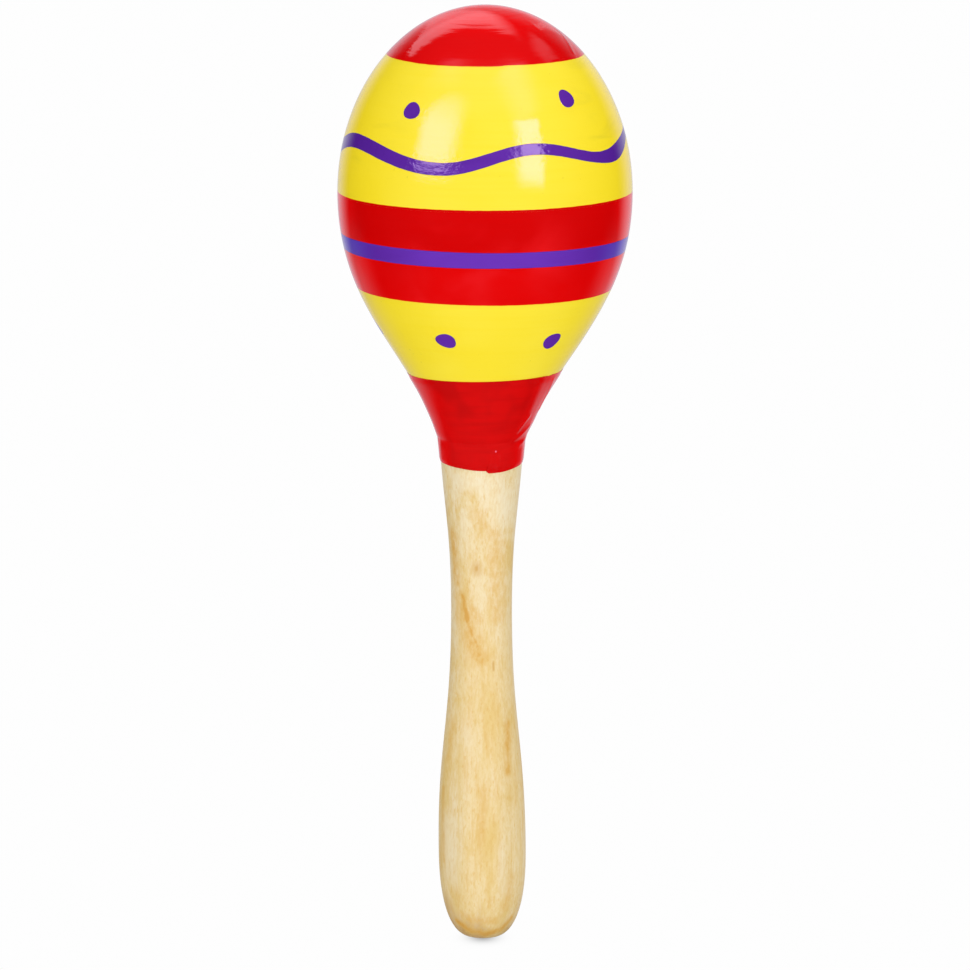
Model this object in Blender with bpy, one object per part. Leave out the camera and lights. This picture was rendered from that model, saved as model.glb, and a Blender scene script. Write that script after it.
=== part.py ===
"""Wooden maraca: a turned handle, a hollow head in two halves, a painted neck wrap and loose rattle seeds.

Metres, +Z up. The origin is the centre of the flat on the butt, Z is the turning axis, and the front faces -Y.
"""

import math

import bmesh
import bpy
from mathutils import Vector
from mathutils.geometry import interpolate_bezier

# Handle: heights are from the butt, and the tenon goes on past the handle's length into the head
HANDLE_LENGTH = 0.1374
BUTT_FLAT_DIAMETER = 0.0050
BULB_DIAMETER = 0.0236
BULB_HEIGHT = 0.0253
WAIST_DIAMETER = 0.0164
WAIST_HEIGHT = 0.0901
NECK_DIAMETER = 0.0227
TENON_DIAMETER = 0.0140
TENON_LENGTH = 0.0220
TENON_CHAMFER = 0.0010

# Head: the bowl runs from the neck up to the seam, the dome from the seam up to the crown
HEAD_DIAMETER = 0.0789
BOWL_HEIGHT = 0.0663
DOME_HEIGHT = 0.0500
HEAD_WALL = 0.0050
LAP_HEIGHT = 0.0040
FLOOR_FILLET = 0.0020

# Painted bands on the head: the cap is measured down from the crown, the others down from the seam
CAP_DEPTH = 0.0131
STRIPE_TOP_DEPTH = 0.0107
STRIPE_WIDTH = 0.0042
BAND_WIDTH = 0.0254

# Neck wrap: a strip glued round the joint of handle and head, its end lapped over its start
WRAP_THICKNESS = 0.0003
WRAP_ON_HANDLE = 0.0066
WRAP_ON_HEAD = 0.0184
WRAP_LAP_WIDTH = 0.0060
WRAP_OVER_DIP = 0.0015
WRAP_UNDER_DIP = 0.0008

# Rattle seeds, resting in one layer on the floor of the head
SEED_DIAMETER = 0.0045
SEED_COUNT = 37

# Clearances that keep glued and loose pieces apart
GLUE_GAP = 0.00015
SEED_GAP = 0.00030

# Form of the turned curves: slopes lean out from the axis, and a pull is a share of its curve's height
SHOULDER_SLOPE = math.radians(3.2)
BOWL_SLOPE = math.radians(19.6)
BUTT_SQUARENESS = 2.37
BULB_PULL = 0.433
WAIST_LOWER_PULL = 0.472
WAIST_UPPER_PULL = 0.478
SHOULDER_PULL = 0.398
NECK_PULL = 0.381
SEAM_PULL = 0.453

# Form of the wrap's lap: angles are from the front, and the dips of its lower edge fade out over a turn
LAP_FOOT_ANGLE = math.radians(6)
LAP_HEAD_ANGLE = math.radians(68)
WRAP_DIP_TURN = math.radians(75)

# Facets
ROUND_STEPS = 48
BUTT_STEPS = 6
BULB_STEPS = 9
SHOULDER_STEPS = 8
OUTER_STEPS = 14
INNER_STEPS = 10
WRAP_ROWS = 9
SEED_STEPS = 2

# Heights that several pieces share
NECK_Z = HANDLE_LENGTH + GLUE_GAP
FLOOR_Z = NECK_Z + TENON_LENGTH
SEAM_Z = NECK_Z + BOWL_HEIGHT
RIM_Z = SEAM_Z + GLUE_GAP
CROWN_Z = RIM_Z + DOME_HEIGHT

HEAD_RADIUS = HEAD_DIAMETER / 2
CAVITY_RADIUS = HEAD_RADIUS - HEAD_WALL
NECK_RADIUS = NECK_DIAMETER / 2
BORE_RADIUS = TENON_DIAMETER / 2 + GLUE_GAP
TONGUE_RADIUS = CAVITY_RADIUS + (HEAD_WALL - GLUE_GAP) / 2
SEED_REACH = SEED_DIAMETER / 2 + SEED_GAP
SEED_PITCH = SEED_DIAMETER + SEED_GAP


def clear_scene():
    for obj in list(bpy.data.objects):
        bpy.data.objects.remove(obj, do_unlink=True)


def linear(channel):
    """One sRGB channel, 0 to 255, as the linear value that a shader takes."""
    share = channel / 255
    return share / 12.92 if share <= 0.04045 else ((share + 0.055) / 1.055) ** 2.4


def make_material(name, rgb, roughness):
    material = bpy.data.materials.new(name)
    material.use_nodes = True
    shader = material.node_tree.nodes["Principled BSDF"]
    shader.inputs["Base Color"].default_value = (*map(linear, rgb), 1)
    shader.inputs["Roughness"].default_value = roughness
    shader.inputs["Metallic"].default_value = 0
    material.diffuse_color = (*map(linear, rgb), 1)
    return material


def curve(start, start_pull, end_pull, end, steps):
    """Radius and height points of a cubic curve, with both ends."""
    points = interpolate_bezier(
        Vector(start), Vector(start) + Vector(start_pull), Vector(end) + Vector(end_pull), Vector(end), steps + 1
    )
    return [(point.x, point.y) for point in points]


def lean(length, slope):
    """A pull of this length, leaning out from the axis by the slope as it rises."""
    return (length * math.sin(slope), length * math.cos(slope))


def radius_at(outline, height):
    """The radius of an outline of rising points at a height."""
    for (r0, z0), (r1, z1) in zip(outline, outline[1:]):
        if z0 <= height <= z1 and z1 > z0:
            return r0 + (r1 - r0) * (height - z0) / (z1 - z0)
    return outline[0][0] if height < outline[0][1] else outline[-1][0]


def with_heights(outline, heights):
    """The outline of rising points with a point added at each of the heights that it crosses."""
    points = list(outline)
    for height in heights:
        if points[0][1] < height < points[-1][1]:
            points.append((radius_at(outline, height), height))
    return sorted(points, key=lambda point: point[1])


def inset(outline, depth):
    """The outline of rising points, moved towards the axis along its normals."""
    moved = []
    last = len(outline) - 1
    for i, (radius, height) in enumerate(outline):
        before = Vector(outline[max(i - 1, 0)])
        after = Vector(outline[min(i + 1, last)])
        along = (after - before).normalized()
        moved.append((radius - depth * along.y, height + depth * along.x))
    return moved


def butt_outline():
    """From the rim of the flat up to the widest place of the bulb, as a quarter of a squarish ellipse."""
    flat = BUTT_FLAT_DIAMETER / 2
    swell = BULB_DIAMETER / 2 - flat
    points = []
    for step in range(BUTT_STEPS):
        angle = math.pi / 2 * step / BUTT_STEPS
        radius = flat + swell * math.sin(angle) ** (2 / BUTT_SQUARENESS)
        points.append((radius, BULB_HEIGHT * (1 - math.cos(angle) ** (2 / BUTT_SQUARENESS))))
    return points


def handle_outline():
    """From the rim of the flat on the butt up to the shoulder."""
    bulb = (BULB_DIAMETER / 2, BULB_HEIGHT)
    waist = (WAIST_DIAMETER / 2, WAIST_HEIGHT)
    shoulder = (NECK_RADIUS, HANDLE_LENGTH)
    lower = WAIST_HEIGHT - BULB_HEIGHT
    upper = HANDLE_LENGTH - WAIST_HEIGHT
    grip = curve(bulb, (0, BULB_PULL * lower), (0, -WAIST_LOWER_PULL * lower), waist, BULB_STEPS)
    drop = lean(-SHOULDER_PULL * upper, SHOULDER_SLOPE)
    neck = curve(waist, (0, WAIST_UPPER_PULL * upper), drop, shoulder, SHOULDER_STEPS)
    return butt_outline() + grip + neck[1:]


def bowl_outline():
    """The outside of the head from the neck up to the seam."""
    rise = lean(NECK_PULL * BOWL_HEIGHT, BOWL_SLOPE)
    return curve((NECK_RADIUS, NECK_Z), rise, (0, -SEAM_PULL * BOWL_HEIGHT), (HEAD_RADIUS, SEAM_Z), OUTER_STEPS)


def cavity_outline():
    """The inside of the bowl, from the floor's edge up to the seam, with its fillet."""
    wall = inset(bowl_outline(), HEAD_WALL)
    corner = Vector((radius_at(wall, FLOOR_Z), FLOOR_Z))
    fillet = min(FLOOR_FILLET, (corner.x - BORE_RADIUS) / 2)
    end_z = FLOOR_Z + fillet
    end = Vector((radius_at(wall, end_z), end_z))
    start = corner - Vector((fillet, 0))
    fillet_points = curve(start, (corner - start) * 0.6, (corner - end) * 0.6, end, 3)
    climb = (SEAM_Z - end_z) / INNER_STEPS
    heights = [end_z + climb * step for step in range(1, INNER_STEPS)]
    return fillet_points + [(radius_at(wall, z), z) for z in heights] + [(CAVITY_RADIUS, SEAM_Z)]


def dome_outline(radius, height, base, steps):
    """A quarter ellipse from its base up to the axis."""
    points = []
    for step in range(steps + 1):
        angle = math.pi / 2 * step / steps
        points.append((radius * math.cos(angle), RIM_Z + height * math.sin(angle)))
    points[-1] = (0, RIM_Z + height)
    return [(radius_at(points, base), base)] + [point for point in points if point[1] > base]


def add_object(name, mesh, materials):
    obj = bpy.data.objects.new(name, mesh)
    bpy.context.scene.collection.objects.link(obj)
    if not mesh.materials:
        for material in materials:
            mesh.materials.append(material)
    mesh.shade_smooth()
    return obj


def turned(name, outline, closed, materials):
    """A solid turned about Z from an outline that ends on the axis, or that is a closed ring."""
    bm = bmesh.new()
    verts = [bm.verts.new((radius, 0, height)) for radius, height in outline]
    pairs = list(zip(verts, verts[1:]))
    if closed:
        pairs.append((verts[-1], verts[0]))
    edges = [bm.edges.new(pair) for pair in pairs]
    bmesh.ops.spin(
        bm,
        geom=verts + edges,
        cent=(0, 0, 0),
        axis=(0, 0, 1),
        angle=2 * math.pi,
        steps=ROUND_STEPS,
        use_merge=True,
    )
    bmesh.ops.remove_doubles(bm, verts=bm.verts[:], dist=1e-6)
    bmesh.ops.dissolve_degenerate(bm, dist=1e-6, edges=bm.edges[:])
    bmesh.ops.recalc_face_normals(bm, faces=bm.faces[:])
    mesh = bpy.data.meshes.new(name)
    bm.to_mesh(mesh)
    bm.free()
    obj = add_object(name, mesh, materials)
    mesh.set_sharp_from_angle(angle=math.radians(40))
    return obj


def paint(obj, bands):
    """Gives the faces between two heights a material slot."""
    for face in obj.data.polygons:
        for low, high, slot in bands:
            if low < face.center.z < high:
                face.material_index = slot


def make_handle(wood):
    """The turned handle, with the tenon that the head sits on."""
    tenon = TENON_DIAMETER / 2
    end = [
        (tenon, HANDLE_LENGTH),
        (tenon, FLOOR_Z - TENON_CHAMFER),
        (tenon - TENON_CHAMFER, FLOOR_Z),
        (0, FLOOR_Z),
    ]
    return turned("handle", [(0, 0)] + handle_outline() + end, False, [wood])


def make_lower_shell(yellow, red, violet):
    """The bowl of the head, bored for the tenon, with a tongue on its rim for the dome."""
    stripe_top = SEAM_Z - STRIPE_TOP_DEPTH
    stripe_bottom = stripe_top - STRIPE_WIDTH
    band_bottom = SEAM_Z - BAND_WIDTH
    outside = with_heights(bowl_outline(), [band_bottom, stripe_bottom, stripe_top])
    tongue_top = SEAM_Z + LAP_HEIGHT
    rim = [
        (TONGUE_RADIUS, SEAM_Z),
        (TONGUE_RADIUS, tongue_top),
        (CAVITY_RADIUS, tongue_top),
    ]
    inside = list(reversed(cavity_outline()))
    bore = [(BORE_RADIUS, FLOOR_Z), (BORE_RADIUS, NECK_Z)]
    obj = turned("lower_shell", outside + rim + inside + bore, True, [yellow, red, violet])
    paint(obj, [(band_bottom, CROWN_Z, 1), (stripe_bottom, stripe_top, 2)])
    return obj


def make_upper_shell(yellow, red):
    """The dome of the head, rebated inside its rim for the bowl's tongue."""
    cap_z = CROWN_Z - CAP_DEPTH
    rebate_z = SEAM_Z + LAP_HEIGHT + GLUE_GAP
    rebate = TONGUE_RADIUS + GLUE_GAP
    outside = with_heights(dome_outline(HEAD_RADIUS, DOME_HEIGHT, RIM_Z, OUTER_STEPS), [cap_z])
    inside = dome_outline(CAVITY_RADIUS, DOME_HEIGHT - HEAD_WALL, rebate_z, INNER_STEPS)
    rim = [(rebate, rebate_z), (rebate, RIM_Z), outside[0]]
    obj = turned("upper_shell", outside + list(reversed(inside)) + rim, False, [yellow, red])
    paint(obj, [(cap_z, CROWN_Z, 1)])
    return obj


def wrap_lower_edge(turn):
    """The height of the wrap's lower edge, by the turn from the lap: both ends of the strip dip there."""
    over = math.exp(-((turn / WRAP_DIP_TURN) ** 2) * 4)
    under = math.exp(-(((2 * math.pi - turn) / WRAP_DIP_TURN) ** 2) * 4)
    return HANDLE_LENGTH - WRAP_ON_HANDLE - WRAP_OVER_DIP * over - WRAP_UNDER_DIP * under


def wrap_turns():
    """The turns from the lap at which the wrap has points: close to its edge, then even."""
    lap = WRAP_LAP_WIDTH / NECK_RADIUS
    step_back = WRAP_THICKNESS / NECK_RADIUS
    fade = [lap * share for share in (0, 0.5, 1)]
    rest = 2 * math.pi - step_back - lap
    return fade + [lap + rest * step / (ROUND_STEPS - 3) for step in range(1, ROUND_STEPS - 2)]


def make_neck_wrap(red):
    """The strip over the joint: it follows the wood under it, and doubles where its end laps its start."""
    under = handle_outline()[:-1] + bowl_outline()
    top = NECK_Z + WRAP_ON_HEAD
    lap = WRAP_LAP_WIDTH / NECK_RADIUS
    bm = bmesh.new()
    rings = []
    for turn in wrap_turns():
        low = wrap_lower_edge(turn)
        thick = WRAP_THICKNESS * (1 + max(0, 1 - turn / lap))
        inner = []
        outer = []
        for row in range(WRAP_ROWS + 1):
            share = row / WRAP_ROWS
            height = low + (top - low) * share
            angle = LAP_FOOT_ANGLE + (LAP_HEAD_ANGLE - LAP_FOOT_ANGLE) * share + turn
            across = Vector((math.sin(angle), -math.cos(angle), 0))
            radius = radius_at(under, height) + GLUE_GAP
            inner.append(bm.verts.new(across * radius + Vector((0, 0, height))))
            outer.append(bm.verts.new(across * (radius + thick) + Vector((0, 0, height))))
        rings.append(inner + list(reversed(outer)))
    for ring, following in zip(rings, rings[1:] + rings[:1]):
        for i in range(len(ring)):
            bm.faces.new((ring[i], ring[i - 1], following[i - 1], following[i]))
    bmesh.ops.recalc_face_normals(bm, faces=bm.faces[:])
    mesh = bpy.data.meshes.new("neck_wrap")
    bm.to_mesh(mesh)
    bm.free()
    obj = add_object("neck_wrap", mesh, [red])
    mesh.set_sharp_from_angle(angle=math.radians(40))
    return obj


def seed_places():
    """The distance from the axis and the angle of each seed, in rings of six more seeds each."""
    places = [(0, 0)]
    ring = 0
    while len(places) < SEED_COUNT:
        ring += 1
        around = 6 * ring
        places += [(ring * SEED_PITCH, 2 * math.pi * i / around) for i in range(around)]
    return places[:SEED_COUNT]


def fine(outline):
    """The outline with nine more points along each stretch, for finding what a seed meets."""
    points = []
    for start, end in zip(outline, outline[1:]):
        points += [tuple(Vector(start).lerp(Vector(end), step / 10)) for step in range(10)]
    return points + [outline[-1]]


def seed_lane(distance, floor, roof):
    """The lowest and highest centre of a seed that goes straight up and down at a distance from the axis."""
    lowest = FLOOR_Z + SEED_REACH
    highest = CROWN_Z
    for points, side in ((floor, 1), (roof, -1)):
        for radius, height in points:
            aside = abs(radius - distance)
            if aside < SEED_REACH:
                stop = height + side * math.sqrt(SEED_REACH**2 - aside**2)
                lowest = max(lowest, stop) if side == 1 else lowest
                highest = min(highest, stop) if side == -1 else highest
    return lowest, highest


def make_seeds(shell):
    """Loose round seeds: each has its origin at its centre, on the line that it flies along."""
    bm = bmesh.new()
    bmesh.ops.create_icosphere(bm, subdivisions=SEED_STEPS, radius=SEED_DIAMETER / 2)
    mesh = bpy.data.meshes.new("rattle_seed")
    bm.to_mesh(mesh)
    bm.free()
    tongue_top = (CAVITY_RADIUS, SEAM_Z + LAP_HEIGHT)
    floor = fine(cavity_outline() + [tongue_top])
    roof = fine(dome_outline(CAVITY_RADIUS, DOME_HEIGHT - HEAD_WALL, tongue_top[1], INNER_STEPS))
    for number, (distance, angle) in enumerate(seed_places(), start=1):
        lowest, highest = seed_lane(distance, floor, roof)
        obj = add_object(f"rattle_seed_{number:02d}", mesh, [shell])
        obj.location = (distance * math.sin(angle), -distance * math.cos(angle), lowest)
        print(f"{obj.name}: rests at {lowest * 1000:.2f} mm, travels {(highest - lowest) * 1000:.2f} mm")


def main():
    clear_scene()
    yellow = make_material("yellow_lacquer", (252, 228, 44), 0.22)
    red = make_material("red_lacquer", (226, 40, 40), 0.25)
    violet = make_material("violet_lacquer", (92, 42, 160), 0.25)
    wrap_red = make_material("red_painted_paper", (222, 44, 44), 0.35)
    wood = make_material("varnished_wood", (236, 208, 150), 0.35)
    seed_brown = make_material("seed_brown", (58, 36, 24), 0.40)
    make_handle(wood)
    make_lower_shell(yellow, red, violet)
    make_upper_shell(yellow, red)
    make_neck_wrap(wrap_red)
    make_seeds(seed_brown)


main()
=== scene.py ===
"""Looks of the wooden maraca: painted head, wrapped neck, turned handle and rattle seeds.

Metres and degrees. Angles go round the turning axis from the front (-Y), and grow towards the right (+X).
The painted pattern, the creases and the wood's marks have their heights and widths in millimetres.
"""

from bisect import bisect
from math import atan2, cos, exp, hypot, pi, radians, sin, sqrt

import bmesh
import bpy
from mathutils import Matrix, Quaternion, Vector, noise
from mathutils.geometry import interpolate_bezier


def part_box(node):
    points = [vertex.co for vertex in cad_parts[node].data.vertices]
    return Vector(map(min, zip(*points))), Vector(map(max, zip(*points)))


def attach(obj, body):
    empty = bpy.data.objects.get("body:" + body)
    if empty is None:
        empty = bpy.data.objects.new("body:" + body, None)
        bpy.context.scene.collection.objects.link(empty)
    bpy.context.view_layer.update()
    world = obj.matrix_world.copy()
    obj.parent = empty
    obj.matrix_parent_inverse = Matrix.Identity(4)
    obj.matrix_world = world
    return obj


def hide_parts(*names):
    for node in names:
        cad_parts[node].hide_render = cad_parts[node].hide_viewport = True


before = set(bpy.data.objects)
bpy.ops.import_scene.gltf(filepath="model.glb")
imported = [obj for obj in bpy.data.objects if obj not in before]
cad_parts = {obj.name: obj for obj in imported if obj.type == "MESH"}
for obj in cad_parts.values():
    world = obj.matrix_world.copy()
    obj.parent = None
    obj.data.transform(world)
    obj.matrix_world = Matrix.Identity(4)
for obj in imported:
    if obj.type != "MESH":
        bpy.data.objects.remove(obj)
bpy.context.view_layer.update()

MM = 0.001
scene = bpy.context.scene

# Sizes that the frame gives
dome_low, dome_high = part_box("upper_shell")
bowl_low, bowl_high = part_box("lower_shell")
_, handle_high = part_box("handle")
HEAD_RADIUS = dome_high.x
CROWN_Z = dome_high.z
RIM_Z = dome_low.z
TONGUE_TOP_Z = bowl_high.z
NECK_Z = bowl_low.z
FLOOR_Z = handle_high.z
BULB_RADIUS = handle_high.x

# Form of the head
SEAM_GAP = 0.01 * MM
SEAM_Z = RIM_Z - SEAM_GAP
DOME_SQUARENESS = 1.985
HOLLOW_SQUARENESS = 2
HEAD_WALL = 5.0 * MM
FLOOR_FILLET = 2.0 * MM
FILLET_PULL = 0.6 * FLOOR_FILLET
FILLET_DRIFT = 0.2 * FLOOR_FILLET
NECK_RADIUS = 11.35 * MM
BOWL_SLOPE = radians(20.25)
NECK_PULL = 24.4 * MM
SEAM_PULL = 31.0 * MM
BORE_RADIUS = 7.15 * MM
TONGUE_RADIUS = 36.87 * MM
REBATE_RADIUS = 37.02 * MM
REBATE_Z = TONGUE_TOP_Z + 0.15 * MM

# Form of the handle
BUTT_FLAT_RADIUS = 2.5 * MM
BUTT_SQUARENESS = 2.45
BULB_Z = 25.3 * MM
WAIST_RADIUS = 8.2 * MM
WAIST_Z = 90.1 * MM
HANDLE_TOP_Z = 137.4 * MM
SHOULDER_SLOPE = radians(3.2)
BULB_PULL = 28.05 * MM
WAIST_LOWER_PULL = 30.55 * MM
WAIST_UPPER_PULL = 22.65 * MM
SHOULDER_PULL = 18.86 * MM
TENON_RADIUS = 7.0 * MM
TENON_CHAMFER = 1.0 * MM

# The handle was glued in a little off the head's axis: height and sideways shift, in millimetres
LEAN = [
    (0, -0.6), (50, -0.93), (137, -0.93), (143, -0.6), (154, -0.3), (165, -0.14),
    (195, 0), (215, 0), (250, 0.06),
]

# Painted pattern: heights above the butt, angles from the front
CAP_EDGE = 241.1
CAP_WOBBLE = 0.06
CAP_DIP = 0.22
CAP_DIP_LEFT = -60
CAP_DIP_LEFT_FADE = 30
CAP_DIP_RIGHT = 14
CAP_DIP_RIGHT_FADE = 8
BAND_TOP = 204.55
BAND_TOP_WOBBLE = 0.04
BAND_BOTTOM = 178.5
BAND_TILT = 0.22
STRIPE_TOP = 193.2
STRIPE_BOTTOM = 188.9
STRIPE_TILT = 0.37
PAINT_WOBBLE = 0.05
WAVE_HALF_WIDTH = 1.58
WAVE_SKEW = 0.28
WAVE_SWELL = 0.75
WAVE_SWELL_ANGLE = 67
WAVE_SWELL_TURN = 12
# Crests and troughs of the wavy line: angle, height
WAVE_TURNS = [
    (-66, 219.8), (-18.5, 215.1), (20.4, 220.2), (57.2, 216.3), (93, 220.8), (125, 215.9),
    (159, 219.9), (192, 215.4), (226, 220.4), (260, 215.6), (294, 219.8),
]
DOT_UNEVENNESS = 0.05
DOT_REACH = 9
DOME_DOT_STRETCH = 1.12
BOWL_DOT_STRETCH = 1.18
# Each dot: angle, height, half width, half height, tilt
DOME_DOTS = [
    (-34.7, 229.4, 2.55, 2.4, 0),
    (41.3, 232.2, 2.35, 2.6, 31),
    (113, 230.1, 2.5, 2.3, 15),
    (185, 231, 2.3, 2.5, -20),
    (257, 229.8, 2.2, 2.6, 10),
]
BOWL_DOTS = [
    (-20.9, 167.9, 2.9, 2.4, -12),
    (39.3, 167.1, 2.8, 2.45, 35),
    (99, 167.6, 2.6, 2.5, 10),
    (159, 168.2, 2.9, 2.4, -20),
    (220, 167.3, 2.7, 2.5, 25),
    (279, 167.9, 2.8, 2.3, -8),
]
# The depth that stands for no paint at all
OFF_PATTERN = -9.0

# Soft line marks: they fade out within this many half widths
MARK_REACH = 3
FAR_OFF = 99.0
SHORTEST = 1e-9
FOLD_MARGIN = 2
# Folds in the cap's paint: strength, half width, then angles and heights
CAP_FOLDS = [
    (1, 0.7, [(84.4, 247.7), (83.5, 246.7), (77, 245.2), (72.3, 243.8), (68.7, 242.5)]),
    (0.7, 1, [(55.3, 249.7), (56.4, 248.9), (66.1, 248.4), (76.9, 247.2)]),
    (0.5, 0.5, [(44, 241.9), (58, 241.6), (67, 241.5)]),
    (0.7, 0.8, [(205, 246), (214, 243.6)]),
]

# Neck wrap
WRAP_THICKNESS = 0.28 * MM
WRAP_GAP = 0.05 * MM
WRAP_SWELL = 0.30 * MM
WRAP_SWELL_HEIGHT = 141
WRAP_SWELL_REACH = 6
WRAP_LOW = 131.0
WRAP_HIGH = 155.75
WRAP_TOP_TILT = 0.5
WRAP_TOP_TILT_TURN = 20
WRAP_EDGE_WOBBLE = 0.10
TOP_NOTCH = 0.15
TOP_NOTCH_ANGLE = 55
TOP_NOTCH_TURN = 2.5
TOP_TAPER = 12
TOP_LIP = 0.15
FOOT_ROUNDING = 22
OVER_DIP = 1.75
OVER_DIP_TURN = 60
UNDER_DIP = 1.05
UNDER_DIP_TURN = 44
LAP_FADE = 34
LAP_DOUBLING = 0.85
LAP_CORNER = 0.45
LAP_CORNER_TURN = 5
LAP_CLOSURE = 0.9998
# The lapped end's edge climbs from the front: height, angle
LAP_EDGE = [(129, 5.3), (131, 8.5), (136, 10.5), (157, 13)]
LAP_SHOWS = 0.03
LAP_HIDDEN = 0.11
CREASE_DEPTH_LIMIT = 0.6
# Creases in the strip: height of the crease, its half width, then its angles and heights
WRAP_CREASES = [
    (0.3, 2, [(46, 156), (49.8, 152.1), (51.6, 148), (52.1, 145.4)]),
    (0.16, 0.8, [(65.3, 154.4), (74.2, 150), (78.2, 145.7)]),
    (0.22, 0.6, [(54.8, 144.4), (50.7, 142.6), (45.4, 140.4)]),
    (0.2, 0.8, [(67.6, 141.1), (56.7, 139.2), (42.5, 137.7)]),
    (0.22, 0.75, [(79.1, 137.6), (58.7, 136.4)]),
    (0.24, 0.36, [(18.8, 135.1), (20.9, 135)]),
    (0.2, 0.75, [(14.2, 134.6), (12.5, 132.5), (15.8, 129.6)]),
    (0.18, 0.7, [(26, 133.8), (24.3, 132), (20.3, 129.3)]),
    (0.05, 0.4, [(-30.4, 137.4), (-28.1, 137.2)]),
    (-0.14, 1.3, [(-75, 137.2), (-30, 136.8), (0, 136.6)]),
    (0.18, 0.8, [(170, 133), (215, 141), (240, 152)]),
    (0.15, 0.7, [(200, 133.5), (232, 139)]),
]

# Marks in the handle's wood: strength, half width, then angles and heights
STAINS = [
    (0.95, 1, [(-38.4, 95.2), (-36.2, 93.9), (-31.7, 91.3), (-27.4, 88.6)]),
    (0.74, 0.8, [(-27.4, 88.6), (-19.2, 85.4), (-9.4, 81.9), (-3.8, 79.2)]),
    (0.55, 2.4, [(-40, 94.5), (-34, 91.5), (-27, 88)]),
    (0.42, 2, [(-55, 94), (-49, 88)]),
    (0.46, 4.5, [(-44, 95), (-26, 86), (-6, 79)]),
    (0.42, 3.2, [(24, 112), (28, 100), (31, 90)]),
    (0.58, 2.4, [(-22, 86.5), (-16, 82.5), (-13, 79.2), (-4, 77.6)]),
    (0.36, 2.6, [(-2, 83.3), (4, 78)]),
    (0.5, 2.2, [(-20, 91.5), (-8, 89)]),
    (0.55, 2.4, [(-60, 112), (-54, 98)]),
    (0.34, 3.6, [(-2, 118), (2, 113)]),
    (0.3, 2, [(40, 110), (44, 92)]),
    (0.45, 1.1, [(-66, 42), (-62, 22)]),
    (0.4, 1.6, [(-55, 61), (-57, 50)]),
    (0.62, 1.5, [(46, 60), (40, 47)]),
    (0.4, 2, [(4, 43), (-2, 29)]),
    (0.4, 1.8, [(42, 18), (36, 10)]),
    (0.72, 1.2, [(-48, 5.4), (-22, 2.8), (5, 2), (35, 2.9), (55, 6)]),
    (0.4, 1.6, [(-36, 8), (-20, 6.4), (23, 6)]),
    (0.5, 1.5, [(150, 120), (163, 95), (158, 70)]),
    (0.4, 2.5, [(215, 60), (222, 35)]),
]
# Pale patches; the two low on the front of the bulb are painted reflections of the lamps
PALE_PATCHES_AND_REFLECTIONS = [
    (0.5, 3, [(-51, 33), (-46, 18)]),
    (0.45, 1.6, [(25, 27), (30, 14)]),
    (0.4, 1.8, [(-21, 59), (-20, 56)]),
    (0.6, 3, [(-40, 128), (-10, 126), (20, 127), (45, 118)]),
    (0.5, 2.4, [(130, 40), (140, 20)]),
]
KNOTS = [
    (0.6, 2.1, [(-9.2, 103.6), (-9.2, 102.4)]),
    (0.95, 0.7, [(-9.2, 103.3), (-9.2, 102.8)]),
    (0.85, 0.42, [(21.9, 77.2), (22.4, 75.2)]),
    (0.6, 0.45, [(128, 84), (129, 82)]),
]

# Seeds: shares of the solid's radius, and turns in radians from one seed to the next
SEED_FULLNESS = 0.955
SEED_SHAPE = (1, 0.93, 0.98)
SEED_UNEVENNESS = 0.03
SEED_UNEVEN_SCALE = 2.3
SEED_SCAR_DEPTH = 0.10
SEED_SCAR_WIDTH = 0.34
SEED_TURNS = (1.7, 0.9, 2.3)

# Mesh fineness
HEAD_COLUMNS = 360
HANDLE_COLUMNS = 192
WRAP_COLUMNS = 420
ROW_SPACING = 0.7 * MM
HANDLE_ROW_SPACING = 0.6 * MM
WRAP_ROWS = 130
INNER_SPACING = 3.0 * MM
OUTSIDE_MAP_SHARE = 0.86
INSIDE_MAP_START = 0.88
SEED_SUBDIVISIONS = 4
FILLET_STEPS = 4
SHARP_ANGLE = radians(40)
WRAP_SHARP_ANGLE = radians(50)

# Colours, sRGB
YELLOW = (251, 229, 63)
YELLOW_DEEP = (248, 222, 35)
OLIVE = (196, 182, 46)
RED = (225, 4, 5)
RED_DEEP = (207, 2, 3)
# The cap's red has a faint painted glow; then red for painted light at the sides and crown, a pink painted
# sheen, and a dark red for painted shade in the cap's folds
RED_CAP_WITH_GLOW = (223, 12, 15)
RED_SIDE_LIGHT = (240, 9, 12)
RED_SHEEN = (232, 24, 29)
RED_FOLD_SHADE = (150, 3, 6)
VIOLET = (97, 44, 164)
VIOLET_DEEP = (80, 31, 144)
STRIPE_VIOLET = (106, 52, 182)
STRIPE_BLUE = (88, 70, 205)
LINE_EDGE = (46, 26, 122)
WRAP_RED = (219, 4, 5)
WRAP_RED_DEEP = (197, 2, 3)
# Brighter red for painted light at the wrap's sides
WRAP_RED_SIDE_LIGHT = (238, 4, 6)
WOOD_PALE = (243, 229, 197)
WOOD_CREAM = (244, 229, 193)
WOOD_GOLD = (239, 216, 166)
# Brown near the butt: end-grain stain, deepened as painted shade near the floor
WOOD_BUTT_STAIN_AND_SHADE = (188, 136, 62)
WOOD_HONEY = (230, 198, 123)
WOOD_AMBER = (225, 177, 86)
WOOD_RUST = (216, 156, 62)
WOOD_FLECK = (222, 178, 92)
WOOD_BROWN = (212, 165, 84)
RAW_WOOD = (226, 194, 140)
RAW_WOOD_DEEP = (196, 156, 98)
SEED_BROWN = (70, 40, 24)
SEED_PALE = (150, 108, 66)

# Share of light that the handle's sides keep, linear, on both sides of its own middle
HANDLE_SIDE_SHADE = (0.93, 0.93, 0.92, 1)
HANDLE_OFFSET = 0.8 * MM
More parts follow.
